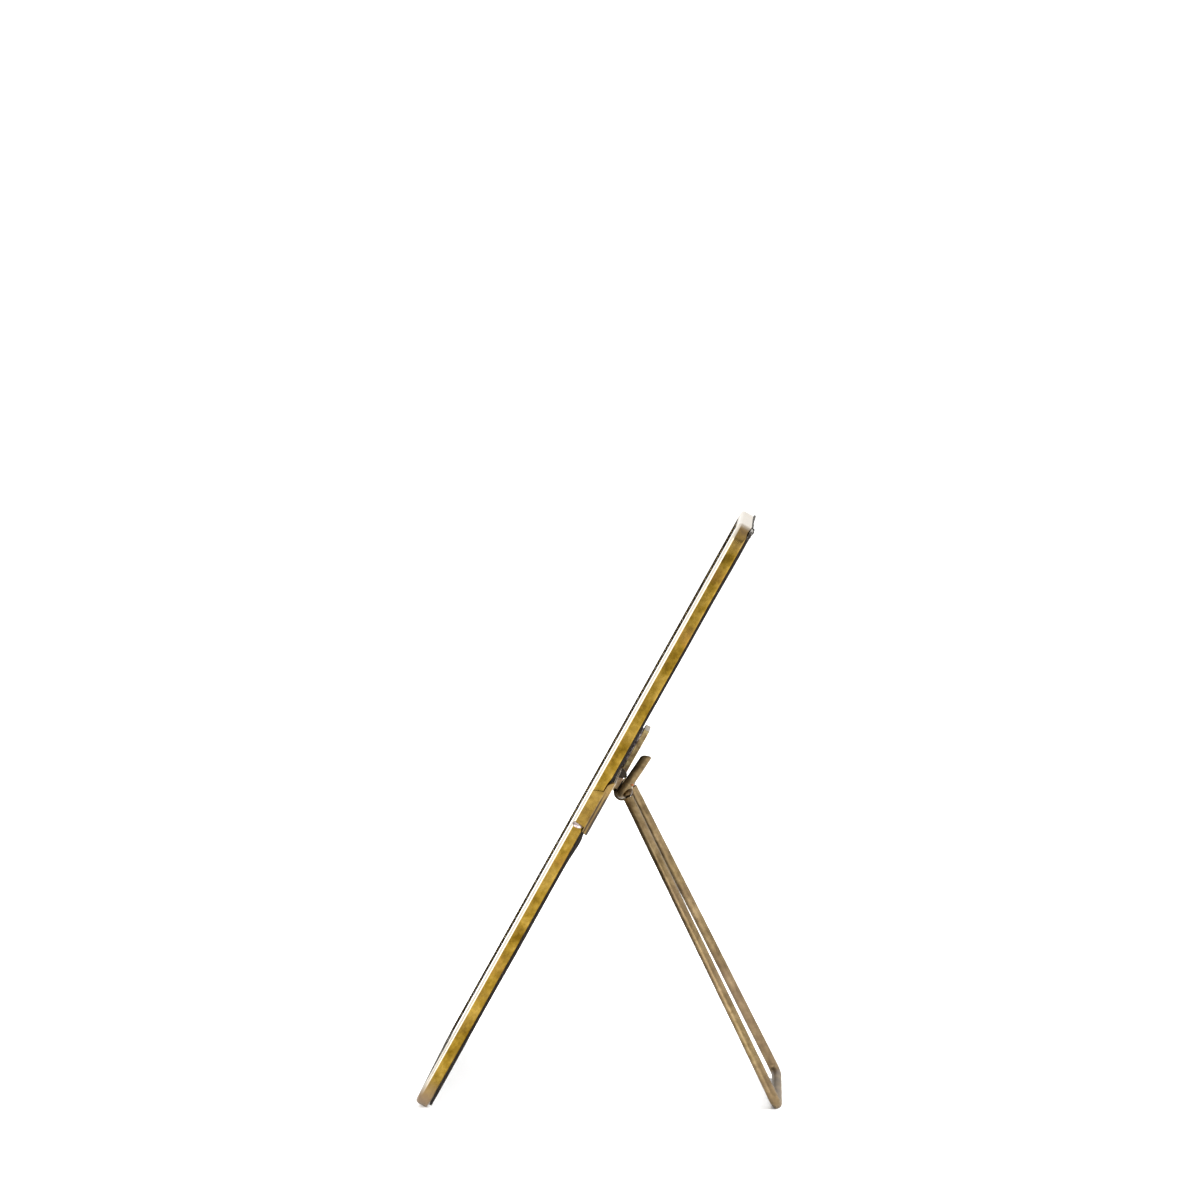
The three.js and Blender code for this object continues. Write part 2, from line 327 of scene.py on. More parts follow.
def add_bump(tree, shader, layers):
    """Bump from several (texture, output, strength, distance) layers, one on top of the other."""
    below = None
    for texture, output, strength, distance in layers:
        bump = add_node(tree, "Bump", {"Strength": strength, "Distance": distance})
        join(tree, texture, output, bump, "Height")
        if below:
            join(tree, below, "Normal", bump, "Normal")
        below = bump
    join(tree, below, "Normal", shader, "Normal")


def blend_painted(tree, below, attribute, tone):
    """A tone laid over the colour below wherever the painted attribute says so."""
    painted = add_node(tree, "Attribute", attribute_name=attribute)
    return mix_colours(tree, painted, "Fac", below, tone), painted


def tarnish(tree, tones, patch, patch_edge, scale):
    """Mottled tones, patches of another colour and fine scratches; also gives the two noises."""
    space = object_space(tree)
    stops = [(0.32 + 0.36 * i / (len(tones) - 1), tone) for i, tone in enumerate(tones)]
    mottle, base = noise_ramp(tree, space, scale, stops)
    edges = [(patch_edge, grey(0)), (patch_edge + PATCH_BLUR, grey(1))]
    _, mask = noise_ramp(tree, space, scale * PATCH_SCALE, edges)
    patched = mix_colours(tree, mask, "Color", base, patch)
    scratch, streaks = noise_ramp(tree, space, SCRATCH_SCALE, [(0.4, grey(0.72)), (0.6, grey(1))], 8, 0.7)
    return mix_colours(tree, streaks, "Color", patched, streaks, "MULTIPLY"), mottle, scratch


def metal(name, tones, patch, patch_edge, roughness, scale=220, bump=1.0, metallic=1.0):
    """Tarnished metal with wear, a painted highlight (sheen), and grime with painted shade, laid on wherever its
    piece is marked with them.
    """
    material, tree, shader = new_material(name)
    marked, mottle, scratch = tarnish(tree, tones, patch, patch_edge, scale)
    worn, _ = blend_painted(tree, marked, "worn", WORN_TONE)
    # painted highlight: the pale sheen tone
    painted_sheen, _ = blend_painted(tree, worn, "painted_sheen", SHEEN_TONE)
    # grime and painted shade, laid last; they also make the metal duller and less metallic
    grimy_and_shaded, grime_and_shade = blend_painted(tree, painted_sheen, "grime_and_shade", GRIME_AND_SHADE_TONE)
    join(tree, grimy_and_shaded, MIX_RESULT, shader, "Base Color")
    shader.inputs["Specular IOR Level"].default_value = 0.15
    shine = add_node(tree, "MapRange", {"To Min": metallic, "To Max": 0})
    join(tree, grime_and_shade, "Fac", shine, "Value")
    join(tree, shine, "Result", shader, "Metallic")
    rough = add_node(tree, "MapRange", {"To Min": roughness[0], "To Max": roughness[1]})
    join(tree, mottle, "Fac", rough, "Value")
    dull = add_node(tree, "Math", {1: GRIME_AND_SHADE_DULLS}, operation="MULTIPLY_ADD", use_clamp=True)
    join(tree, grime_and_shade, "Fac", dull, 0)
    join(tree, rough, "Result", dull, 2)
    join(tree, dull, "Value", shader, "Roughness")
    add_bump(tree, shader, [(mottle, "Fac", 0.25 * bump, 0.0001), (scratch, "Fac", 0.2 * bump, 0.00003)])
    return material


RIM_BRASS = metal(
    "rim_metal",
    tones=[(0.1, 0.056, 0.004), (0.2, 0.122, 0.014), (0.31, 0.2, 0.038)],
    patch=(0.24, 0.125, 0.022), patch_edge=0.54, roughness=(0.14, 0.3), bump=0.25,
)
WIRE_BRASS = metal(
    "wire_metal",
    tones=[(0.12, 0.08, 0.035), (0.24, 0.168, 0.078), (0.35, 0.255, 0.13)],
    patch=(0.2, 0.135, 0.07), patch_edge=0.55, roughness=(0.28, 0.42),
)
HINGE_BRASS = metal(
    "hinge_metal",
    tones=[(0.15, 0.1, 0.05), (0.32, 0.23, 0.11), (0.55, 0.45, 0.22)],
    patch=(0.3, 0.21, 0.15), patch_edge=0.56, roughness=(0.3, 0.5), scale=400,
)
SOLDER = metal(
    "solder_metal",
    tones=[(0.1, 0.08, 0.07), (0.45, 0.37, 0.36), (0.9, 0.84, 0.84)],
    patch=(0.3, 0.2, 0.14), patch_edge=0.58, roughness=(0.2, 0.42), scale=900, metallic=0.65,
)
BRAZE = metal(
    "braze_metal",
    tones=[(0.05, 0.03, 0.014), (0.1, 0.066, 0.033), (0.17, 0.12, 0.062)],
    patch=(0.2, 0.11, 0.05), patch_edge=0.6, roughness=(0.34, 0.5), scale=500,
)
BRAZE_SPOT = metal(
    "braze_bright",
    tones=[(0.22, 0.075, 0.025), (0.34, 0.13, 0.045), (0.4, 0.19, 0.08)],
    patch=(0.4, 0.24, 0.12), patch_edge=0.6, roughness=(0.34, 0.5), scale=500,
)


def glass_material():
    """Clear glass with a faint uneven film on it."""
    material, tree, shader = new_material("pane_glass")
    shader.inputs["Transmission Weight"].default_value = 1
    shader.inputs["IOR"].default_value = 1.5
    space = object_space(tree)
    film, tint = noise_ramp(tree, space, 40, [(0.3, (0.93, 0.97, 0.95)), (0.7, (0.98, 0.99, 0.98))])
    join(tree, tint, "Color", shader, "Base Color")
    set_roughness(tree, shader, film, 0.0, 0.05, 0.45, 0.75)
    add_bump(tree, shader, [(film, "Fac", 0.02, 0.0001)])
    return material


def board_material():
    """Black pressed fibreboard, dusty, with pale fibres where it is chipped."""
    material, tree, shader = new_material("board_black")
    space = object_space(tree)
    stops = [(0.3, (0.004, 0.003, 0.002)), (0.75, (0.016, 0.012, 0.009))]
    fibre, tone = noise_ramp(tree, space, 500, stops, 8)
    shader.inputs["Specular IOR Level"].default_value = 0.2
    _, dust = noise_ramp(tree, space, 60, [(0.55, grey(0)), (0.85, grey(0.2))])
    dusty = mix_colours(tree, dust, "Color", tone, (0.06, 0.05, 0.04))
    chipped = add_node(tree, "Attribute", attribute_name="worn")
    _, speck = noise_ramp(tree, space, 1600, [(0.5, (0.02, 0.016, 0.012)), (0.6, (0.6, 0.58, 0.54))], 3)
    finish = mix_colours(tree, chipped, "Fac", dusty, speck)
    join(tree, finish, MIX_RESULT, shader, "Base Color")
    set_roughness(tree, shader, fibre, 0.6, 0.95)
    add_bump(tree, shader, [(fibre, "Fac", 0.4, 0.0001)])
    return material


def paper_material(name, light, dark):
    """Grainy pulp paper or card between two tones."""
    material, tree, shader = new_material(name)
    space = object_space(tree)
    pulp, tone = noise_ramp(tree, space, 900, [(0.35, dark), (0.65, light)], 6)
    join(tree, tone, "Color", shader, "Base Color")
    set_roughness(tree, shader, pulp, 0.7, 0.95)
    add_bump(tree, shader, [(pulp, "Fac", 0.2, 0.00005)])
    return material


GLASS = glass_material()
BOARD = board_material()
CARD = paper_material("card_pulp", (0.23, 0.19, 0.14), (0.16, 0.13, 0.095))


def hills(tree, parts, below, base, swing, scale, seed, tone):
    """One ridge over the picture below it: everything lower than a wavy line takes the tone."""
    wave = add_node(tree, "TexNoise", {"Scale": scale, "Detail": 4, "Roughness": 0.5}, noise_dimensions="1D")
    shifted = add_node(tree, "MapRange", {"To Min": seed, "To Max": seed + 1})
    join(tree, parts, "X", shifted, "Value")
    join(tree, shifted, "Result", wave, "W")
    line = add_node(tree, "MapRange", {"To Min": base - swing, "To Max": base + swing})
    join(tree, wave, "Fac", line, "Value")
    over = add_node(tree, "Math", operation="SUBTRACT", use_clamp=True)
    join(tree, line, "Result", over, 0)
    join(tree, parts, "Z", over, 1)
    edge = add_node(tree, "MapRange", {"From Max": 0.004})
    join(tree, over, "Value", edge, "Value")
    return mix_colours(tree, edge, "Result", below, tone)


def border_mask(tree, parts):
    """White paper round the picture: 1 within the margins, measured from each edge of the sheet."""
    masks = []
    for axis, margin in (("X", BORDER_ACROSS), ("Z", BORDER_UP)):
        off_centre = add_node(tree, "Math", {1: 0.5}, operation="SUBTRACT")
        join(tree, parts, axis, off_centre, 0)
        far = add_node(tree, "Math", operation="ABSOLUTE")
        join(tree, off_centre, "Value", far, 0)
        mask = add_node(tree, "MapRange", {"From Min": 0.5 - margin, "From Max": 0.502 - margin})
        join(tree, far, "Value", mask, "Value")
        masks.append(mask)
    both = add_node(tree, "Math", operation="MAXIMUM")
    join(tree, masks[0], "Result", both, 0)
    join(tree, masks[1], "Result", both, 1)
    return both


def print_material():
    """A printed hill landscape with a white border, on slightly rough paper."""
    material, tree, shader = new_material("print_paper")
    way = add_node(tree, "TexCoord")
    parts = add_node(tree, "SeparateXYZ")
    join(tree, way, "Generated", parts, "Vector")
    sky = add_node(tree, "ValToRGB")
    low_sky, high_sky = sky.color_ramp.elements
    low_sky.position, low_sky.color = 0.45, (0.5, 0.38, 0.24, 1)
    high_sky.position, high_sky.color = 0.95, (0.12, 0.21, 0.33, 1)
    join(tree, parts, "Z", sky, "Fac")
    space = object_space(tree, (1, 1, 3.5))
    _, cloud = noise_ramp(tree, space, 28, [(0.48, grey(0)), (0.75, grey(0.7))], 6)
    picture = mix_colours(tree, cloud, "Color", sky, (0.55, 0.5, 0.45))
    for ridge in RIDGES:
        picture = hills(tree, parts, picture, *ridge)
    pulp, grain = noise_ramp(tree, object_space(tree), 900, [(0.35, grey(0.9)), (0.65, grey(1))], 6)
    border = border_mask(tree, parts)
    sheet = mix_colours(tree, border, "Value", picture, (0.56, 0.55, 0.52))
    finish = mix_colours(tree, grain, "Color", sheet, grain, "MULTIPLY")
    join(tree, finish, MIX_RESULT, shader, "Base Color")
    set_roughness(tree, shader, pulp, 0.45, 0.65)
    add_bump(tree, shader, [(pulp, "Fac", 0.2, 0.00005)])
    return material


PRINT = print_material()


# Rim


def outline_stations(first, second):
    """Stations round the outside of the rim from the joint on the right to the joint on the left.
    first and second are the rises of the joint and of the far side: top or bottom."""
    side = HALF_WIDTH
    turn = 1 if second > first else -1
    corner_rise = second - turn * CORNER
    stations = []
    steps = max(2, round(abs(corner_rise - first) / STATION_STEP))
    for i in range(steps):
        stations.append((side, first + (corner_rise - first) * i / steps, 1, 0))
    for i in range(CORNER_STEPS):
        angle = math.pi / 2 * i / CORNER_STEPS
        across, along = math.cos(angle), math.sin(angle) * turn
        stations.append((side - CORNER + CORNER * across, corner_rise + CORNER * along, across, along))
    half = round((side - CORNER) / STATION_STEP)
    for i in range(half):
        stations.append(((side - CORNER) * (1 - i / half), second, 0, turn))
    mirrored = [(-x, rise, -nx, nr) for x, rise, nx, nr in reversed(stations)]
    return stations + [(0, second, 0, turn)] + mirrored


def rim_section(back):
    """The angle section as (inset, depth) points, its outer front edge rounded over."""
    wall = BOX["rim_upper"][1].x - BOX["glass_pane"][1].x - 0.15
    e, r, b = EDGE_ROUNDING, FRONT_ROUNDING, BACK_ROUNDING
    points = []
    for i in range(5):
        angle = math.pi / 2 * i / 4
        points.append((b - b * math.sin(angle), back - b + b * math.cos(angle)))
    points += [(0, back * 0.6), (0, back * 0.35), (0, r)]
    for i in range(1, 6):
        angle = math.pi / 2 * i / 6
        points.append((r - r * math.cos(angle), r - r * math.sin(angle)))
    points += [(r, 0), (LIP * 0.5, 0.0), (LIP - e, 0), (LIP - 0.03, 0.04), (LIP, e)]
    points += [(LIP, LIP_THICKNESS - e), (LIP - e, LIP_THICKNESS), (wall + e, LIP_THICKNESS)]
    points += [(wall, LIP_THICKNESS + e), (wall, back - e), (wall - e, back)]
    return points


def rim_tones(station, inset, depth, end, wear):
    """How worn the rim is, how much grime and painted shade it has, and how much painted highlight, at a point of
    its section.
    end is the rise of the far side of this half, and wear how worn its two corners are."""
    x, rise, _, facing_up = station
    to_corner = math.hypot(HALF_WIDTH - abs(x), rise - end)
    worn = wear * max(0, 1 - to_corner / WEAR_REACH) + wobble((x, depth, rise), 0.1, 0.2)
    top_face = max(0, (facing_up - 0.75) / 0.25)
    near_foot = max(0, 1 - rise / FOOT_DARK_REACH)
    # Painted shade on the inner edge of the lips; also darker towards the foot, and a little painted shade on the
    # top face
    grime_and_shade = 0.9 if inset >= LIP - 0.04 else 0.45 * near_foot + 0.3 * top_face
    # Painted highlight on the front shoulder, fading out near the foot, and a paler top face
    on_shoulder = 0 < inset <= FRONT_ROUNDING and depth < FRONT_ROUNDING
    above_foot = min(1, max(0, (rise - 3) / 4))
    sheen = (0.85 - 0.45 * depth / FRONT_ROUNDING) * above_foot if on_shoulder else 0
    return worn, grime_and_shade, max(sheen, 0.4 * top_face)


def rim_half(name, node, first, second, back, wear):
    """One half of the rim, from its joint at the rise first to its far side at the rise second."""
    stations = outline_stations(first, second)
    section = rim_section(back)
    points = []
    tones = []
    for station in stations:
        x, rise, nx, nr = station
        dent = 0.06 + wobble((x, 0, rise), 0.06, 0.08)
        swell = wobble((x, 7, rise), 0.08, 0.06)
        for inset, depth in section:
            deep = depth + (swell * depth / back if depth > 1 else 0)
            points.append(place((x - nx * (inset + dent), deep, rise - nr * (inset + dent))))
            tones.append(rim_tones(station, inset, depth, second, wear))
    faces = sweep_faces(len(stations), len(section))
    if second > first:
        faces = [tuple(reversed(face)) for face in faces]
    piece = make_piece(name, points, faces, RIM_BRASS, "frame", [node])
    # Paints wear, grime with painted shade, and the painted highlight onto the points
    for attribute, values in zip(("worn", "grime_and_shade", "painted_sheen"), zip(*tones)):
        paint(piece, attribute, values)


def paint(piece, name, values):
    """Stores one value for each point, for the material to read."""
    attribute = piece.data.attributes.new(name, "FLOAT", "POINT")
    attribute.data.foreach_set("value", values)


rim_half("rim_top_piece", "rim_upper", SEAM, HEIGHT, RIM_DEPTH + UPPER_SWELL, TOP_WEAR)
rim_half("rim_bottom_piece", "rim_lower", SEAM, 0, RIM_DEPTH - LOWER_SINK, BOTTOM_WEAR)


# Flat pieces: glass, print and card

def rounded_outline(half, low, high, radius, steps=10):
    """Points round a rectangle with rounded corners, as (x, rise)."""
    points = []
    bottom, top = low + radius, high - radius
    for side, rise, start in ((1, bottom, -90), (1, top, 0), (-1, top, 90), (-1, bottom, 180)):
        for i in range(steps + 1):
            angle = math.radians(start + 90 * i / steps)
            across = side * (half - radius) + radius * math.cos(angle)
            points.append((across, rise + radius * math.sin(angle)))
    return points


def plate(name, outline, front, back, chamfer, finish, nodes):
    """A flat piece with its outline in x and rise, its edges chamfered all round."""
    centre = Vector((sum(x for x, _ in outline), sum(r for _, r in outline))) / len(outline)
    rings = ((front, chamfer), (front + chamfer, 0), (back - chamfer, 0), (back, chamfer))
    points = []
    for depth, inset in rings:
        for x, rise in outline:
            inward = centre - Vector((x, rise))
            share = inset / max(abs(inward.x), abs(inward.y))
            points.append(place((x + inward.x * share, depth, rise + inward.y * share)))
    faces = [tuple(reversed(face)) for face in sweep_faces(len(rings), len(outline))]
    return make_piece(name, points, faces, finish, "frame", nodes)


def glazing():
    """The glass and the print, and a new material on the filler card."""
    low, high = BOX["glass_pane"]
    outline = rounded_outline(high.x, low.z, high.z, GLASS_CORNER)
    plate("glass_piece", outline, LIP_THICKNESS + 0.03, high.y, GLASS_CHAMFER, GLASS, ["glass_pane"])
    low, high = BOX["picture_print"]
    outline = rounded_outline(high.x, low.z, high.z, PRINT_CORNER)
    plate("print_piece", outline, low.y, high.y, PRINT_CHAMFER, PRINT, ["picture_print"])
    card = frame["nodes"]["filler_card"]
    card.data.materials.clear()
    card.data.materials.append(CARD)


glazing()


# Backing board

def board_section(x_half, front, back, rise):
    """Points round the board at one rise, close together near its edges."""
    count = BOARD_COLUMNS
    across = [x_half * math.sin(math.pi / 2 * i / count) for i in range(-count, count + 1)]
    back_row = [(-x, back + board_warp(x, rise)) for x in across]
    front_row = [(x, front) for x in across]
    return back_row + front_row


def board_warp(x, rise):
    """How far the back stands off its even thickness: slack below the strap, frayed at the top."""
    _, high = BOX["backing_board"]
    strap_low, strap_high = BOX["back_strap"][0].z, BOX["back_strap"][1].z
    edge = abs(x) / high.x
    below = math.exp(-((rise - strap_low + 2.5) / 4.5) ** 2) * 0.42 if rise < strap_low else 0
    frayed = math.exp(-((rise - high.z + BOARD_SHORT + 1) / 1.1) ** 2)
    fray = 0.32 * frayed * max(0, 1 - (high.x - abs(x)) / 4)
    slack = math.exp(-((rise - high.z + 10) / 8) ** 2) * 0.1
    wave = wobble((x, 3, rise), 0.1, 0.05) - 0.12
    if strap_low <= rise <= strap_high:
        wave = min(wave, -0.05)
    return wave + (below + slack) * edge ** 3 + fray * (0.7 + wobble((x, 5, rise), 1.2, 2.3))


def board_half_width(rise):
    """The lower corners follow the round corners of the rim; the upper ones are square."""
    low, high = BOX["backing_board"]
    radius = CORNER - (HALF_WIDTH - high.x)
    drop = max(0, radius - (rise - low.z))
    return high.x - (radius - math.sqrt(max(0, radius * radius - drop * drop)))


def backing_board():
    """The board from its rounded foot to its chipped top."""
    low, high = BOX["backing_board"]
    top = high.z - BOARD_SHORT
    stations = []
    rise = low.z + 0.05
    while rise < top - 0.2:
        stations.append(rise)
        rise += BOARD_FINE_STEP if rise < low.z + 5 or rise > top - 5 else BOARD_STEP
    stations.append(top)
    points = []
    worn = []
    for rise in stations:
        chip = max(0, 1 - (top - rise) / 3)
        half = board_half_width(rise) - chip * 0.2 - abs(wobble((0, 9, rise), 0.16, 0.5))
        for x, depth in board_section(half, low.y, high.y, rise):
            corner = chip * max(0, 1 - (half - abs(x)) / 4)
            ragged = wobble((x, depth, rise), 0.25, 1.3) * chip
            points.append(place((x + ragged, depth, rise + ragged + BOARD_SHORT * 0.5 * corner)))
            worn.append(0.08 * chip + 0.35 * corner)
    sides = len(points) // len(stations)
    piece = make_piece("board_piece", points, sweep_faces(len(stations), sides), BOARD, "board",
                       ["backing_board"])
    paint(piece, "worn", worn)


backing_board()


# Strap

def strap_path():
    """(x, depth, outward x, outward depth, lowest rise, highest rise) from the right tab to the middle."""
    low, high = BOX["back_strap"]
    thick = BOX["back_strap"][1].x - HALF_WIDTH - 0.05
    side = high.x - thick / 2
    back = high.y - thick / 2
    turn_depth = back - BEND_RADIUS
    path = []
    for i in range(9):
        depth = TAB_FRONT + (RIM_DEPTH - 0.1 - TAB_FRONT) * i / 8
        top = TAB_TOP_FRONT + (TAB_TOP_BACK - TAB_TOP_FRONT) * i / 8
        bottom = TAB_BOTTOM_RISE + 0.25 * (1 - i / 8)
        path.append((side, depth, 1, 0, bottom, top))
    path.append((side, RIM_DEPTH + 0.05, 1, 0, low.z + 0.5, high.z - 1.4))
    for i in range(17):
        angle = math.pi / 2 * i / 16
        x = side - BEND_RADIUS + BEND_RADIUS * math.cos(angle)
        depth = turn_depth + BEND_RADIUS * math.sin(angle)
        round_off = 0.9 * max(0, 1 - i / 8)
        path.append((x, depth, math.cos(angle), math.sin(angle), low.z + round_off * 0.4, high.z - round_off))
    start = side - BEND_RADIUS
    for i in range(1, 25):
        path.append((start * (1 - i / 24), back, 0, 1, low.z, high.z))
    return path, thick


def strap_ring(x, depth, nx, nd, low, high, thick):
    """Points round the strap at one station, from low to high on both faces."""
    ring = []
    for side in (1, -1):
        rises = [low + (high - low) * i / STRAP_ROWS for i in range(STRAP_ROWS + 1)]
        rises[0] += STRAP_CHAMFER
        rises[-1] -= STRAP_CHAMFER
        rows = [(side * thick / 2, rise) for rise in rises]
        edge = side * (thick / 2 - STRAP_CHAMFER)
        rows = [(edge, low)] + rows + [(edge, high)]
        ring += rows if side > 0 else list(reversed(rows))
    return [(x + nx * out, depth + nd * out, rise) for out, rise in ring]


def strap():
    """The strap with both its tabs, slightly dented, its long edges a little uneven."""
    path, thick = strap_path()
    mirrored = [(-x, depth, -nx, nd, low, high) for x, depth, nx, nd, low, high in reversed(path[:-1])]
    stations = path + mirrored
    points = []
    worn = []
    grime_and_shade = []
    for x, depth, nx, nd, low, high in stations:
        dent = abs(wobble((x, 2, depth), 0.05, 0.3)) + abs(wobble((x, 8, 0), 0.1, 0.03))
        middle = (x - nx * dent * 0.5, depth - nd * dent * 0.5)
        for px, pd, rise in strap_ring(*middle, nx, nd, low, high, thick):
            edge = wobble((x, 4, rise), 0.1, 0.4) if rise in (low, high) else 0
            points.append(place((px, pd, rise + edge * (0 if abs(nx) < 0.5 else 1))))
            worn.append(0.3 if abs(x) > HALF_WIDTH - 2 and depth > RIM_DEPTH else 0.1)
            grime_and_shade.append(strap_shade(px, pd, rise))
    sides = len(points) // len(stations)
    piece = make_piece("strap_piece", points, sweep_faces(len(stations), sides), RIM_BRASS, "frame",
                       ["back_strap"])
    paint(piece, "worn", worn)
    paint(piece, "grime_and_shade", grime_and_shade)


def strap_shade(x, depth, rise):
    """Painted shade in the bend at each side where the strap leaves the rim, with a lighter stripe along the
    strap's edge, below the nub that stands clear of the tab; a faint even darkening elsewhere.
    """
    if abs(x) < HALF_WIDTH - 2.5 or rise > TAB_TOP_BACK:
        return 0.1
    if 4.4 < depth < 4.85:
        return 0.35
    return 0.92 if depth > 4.05 else 0


strap()


# Lumps of solder and braze

def lump(name, centre, radii, finish, body, nodes, rough=0.25, lumps=0.9, seed=0, detail=4):
    """A blob drawn as a ball pushed in and out by noise."""
    shape = bmesh.new()
    bmesh.ops.create_icosphere(shape, subdivisions=detail, radius=1)
    points = []
    for vertex in shape.verts:
        way = vertex.co.normalized()
        push = 1 + rough * noise.fractal(way * lumps + Vector((seed, seed, seed)), 0.9, 2.1, 4)
        points.append(place(Vector(centre) + Vector(a * b for a, b in zip(way * push, radii))))
    faces = [tuple(v.index for v in face.verts) for face in shape.faces]
    shape.free()
    return make_piece(name, points, faces, finish, body, nodes, sharp=80)


def solder_lumps():
    """A bead of solder with a drip beside it at the edge of each tab."""
    for side, node in ((1, "tab_solder_right"), (-1, "tab_solder_left")):
        low, high = BOX[node]
        middle = (low + high) / 2
        x = side * (HALF_WIDTH + 0.12)
        name = node.replace("tab_", "")
        lump(name, (x, middle.y, high.z - 0.3), (0.55, 1.4, 0.75), SOLDER, "frame", [node], 0.3, 1.3,
             3 * side)
        lump(name + "_drip", (x, middle.y + 0.9, high.z - 0.3), (0.62, 0.55, 0.6), SOLDER, "frame", [node],
             0.25, 1.2, 5 * side)


solder_lumps()


# Hinge

def hinge_leaf():
    """The flat leaf in front of the knuckle, its outline split into short steps."""
    low, high = BOX["hinge_plate"]
    bottom = BOX["plate_solder"][0].z - LEAF_BELOW_SOLDER
    top = high.z + LEAF_RAISED
    corners = [(low.x, bottom), (high.x, bottom), (high.x, top), (low.x, top)]
    outline = []
    for (x0, r0), (x1, r1) in zip(corners, corners[1:] + corners[:1]):
        steps = max(2, round(math.hypot(x1 - x0, r1 - r0) / LEAF_STEP))
        outline += [(x0 + (x1 - x0) * i / steps, r0 + (r1 - r0) * i / steps) for i in range(steps)]
    back = PIVOT_LOCAL.y - WIRE_RADIUS - KNUCKLE_GAP
    plate("hinge_leaf", outline, low.y, back, LEAF_CHAMFER, HINGE_BRASS, ["hinge_plate"])


def knuckle():
    """The tongue rolled round the rod, as a section in depth and rise run along x."""
    inner = WIRE_RADIUS + KNUCKLE_GAP
    outer = inner + KNUCKLE_SHEET
    section = []
    turns = range(KNUCKLE_TURNS + 1)
    for radius, order in ((outer, turns), (inner, reversed(turns))):
        for i in order:
            angle = math.radians(180 + KNUCKLE_ROLL * i / KNUCKLE_TURNS)
            section.append((radius, angle))
    half = BOX["hinge_plate"][1].x
    points = []
    for k in range(KNUCKLE_STEPS + 1):
        x = half - 2 * half * k / KNUCKLE_STEPS
        for radius, angle in section:
            swell = wobble((x, angle * 4, 0), 0.06, 0.3) if radius > inner else 0
            reach = radius - abs(swell)
            depth = PIVOT_LOCAL.y + reach * math.cos(angle)
            points.append(place((x, depth, PIVOT_LOCAL.z + reach * math.sin(angle))))
    faces = sweep_faces(KNUCKLE_STEPS + 1, len(section))
    piece = make_piece("hinge_knuckle", points, faces, HINGE_BRASS, "frame", ["hinge_plate"])
    # Painted shade: the ends of the roll, seen from the side, are darkened most; the middle, behind the leaf, less
    paint(piece, "grime_and_shade", [0.35 if abs(p.x) < (half - 0.5) * MM else 0.8 for p in points])


def solder_film():
    """Solder run up behind the leaf from the strap, thick in the middle and ragged at its edges."""
    low, high = BOX["plate_solder"]
    leaf_front = BOX["hinge_plate"][0].y
    columns, rows = FILM_COLUMNS, FILM_ROWS
    points = []
    for face in (0, 1):
        for j in range(rows + 1):
            rise = low.z + (high.z + 1 - low.z) * j / rows
            for i in range(columns + 1):
                x = (high.x + 0.25) * (2 * i / columns - 1)
                grain = noise.fractal(Vector((x * 0.45, 0, rise * 0.45)), 0.8, 2.1, 4)
                reach = max(0.05, (leaf_front - low.y) * (1 - 0.5 * abs(grain)))
                border = i in (0, columns) or j in (0, rows)
                reach = reach * 0.75 if border else reach
                points.append(place((x, leaf_front + 0.02 if face else leaf_front - reach, rise)))
    count = (rows + 1) * (columns + 1)
    faces = grid_faces(rows, columns, 0, False) + grid_faces(rows, columns, count, True)
    faces += rim_faces(rows, columns, count)
    make_piece("solder_film", points, faces, SOLDER, "frame", ["plate_solder"], sharp=80)


def grid_faces(rows, columns, start, flip):
    """Faces of a grid of points whose first point has the number start."""
    faces = []
    wide = columns + 1
    for j in range(rows):
        for i in range(columns):
            a = start + j * wide + i
            face = (a, a + 1, a + 1 + wide, a + wide)
            faces.append(tuple(reversed(face)) if flip else face)
    return faces


def rim_faces(rows, columns, count):
    """Faces that close the border between two grids of the same shape."""
    wide = columns + 1
    border = list(range(wide))
    border += [j * wide + columns for j in range(1, rows + 1)]
    border += [rows * wide + i for i in range(columns - 1, -1, -1)]
    border += [j * wide for j in range(rows - 1, 0, -1)]
    faces = []
    for a, b in zip(border, border[1:] + border[:1]):
        faces.append((b, a, a + count, b + count))
    return faces


def stop_lump():
    """The lump that the tail of the easel rests on, painted nearly black as painted shade behind the tail."""
    low, high = BOX["stop_bead"]
    middle = (low + high) / 2
    tall = high.y - low.y
    piece = lump("stop_lump", (middle.x, low.y, middle.z), (1.4, tall * 0.97, 1.35), HINGE_BRASS, "frame",
                 ["stop_bead"], 0.1, 1.5, 2)
    # Painted shade: the whole lump is darkened nearly to black
    paint(piece, "grime_and_shade", [0.97] * len(piece.data.vertices))


hinge_leaf()
knuckle()
solder_film()
stop_lump()


# Easel wire

def bent_line(corners, radius, steps=14):
    """Points along straight runs joined by round bends."""
    line = [corners[0]]
    for before, corner, after in zip(corners, corners[1:], corners[2:]):
        into = (corner - before).normalized()
        out = (after - corner).normalized()
        turn = into.angle(out)
        axis = into.cross(out).normalized()
        start = corner - into * radius * math.tan(turn / 2)
        centre = start + axis.cross(into) * radius
        for i in range(steps + 1):
            line.append(centre + Quaternion(axis, turn * i / steps) @ (start - centre))
    line.append(corners[-1])
    return line


def filled(line, gap):
    """The same line with extra points along its long runs."""
    dense = []
    for a, b in zip(line, line[1:]):
        steps = max(1, round((b - a).length / gap))
        dense += [a.lerp(b, i / steps) for i in range(steps)]
    return dense + [line[-1]]


def tube(line, radius, sides):
    """Rings of points round a line, without twist."""
    rings = []
    side = None
    for i, point in enumerate(line):
        ahead = (line[min(i + 1, len(line) - 1)] - line[max(i - 1, 0)]).normalized()
        if side is None:
            side = ahead.orthogonal().normalized()
        side = (side - ahead * side.dot(ahead)).normalized()
        other = ahead.cross(side)
        ring = []
        for j in range(sides):
            angle = 2 * math.pi * j / sides
            ring.append(point + (side * math.cos(angle) + other * math.sin(angle)) * radius)
        rings.append(ring)
    return rings


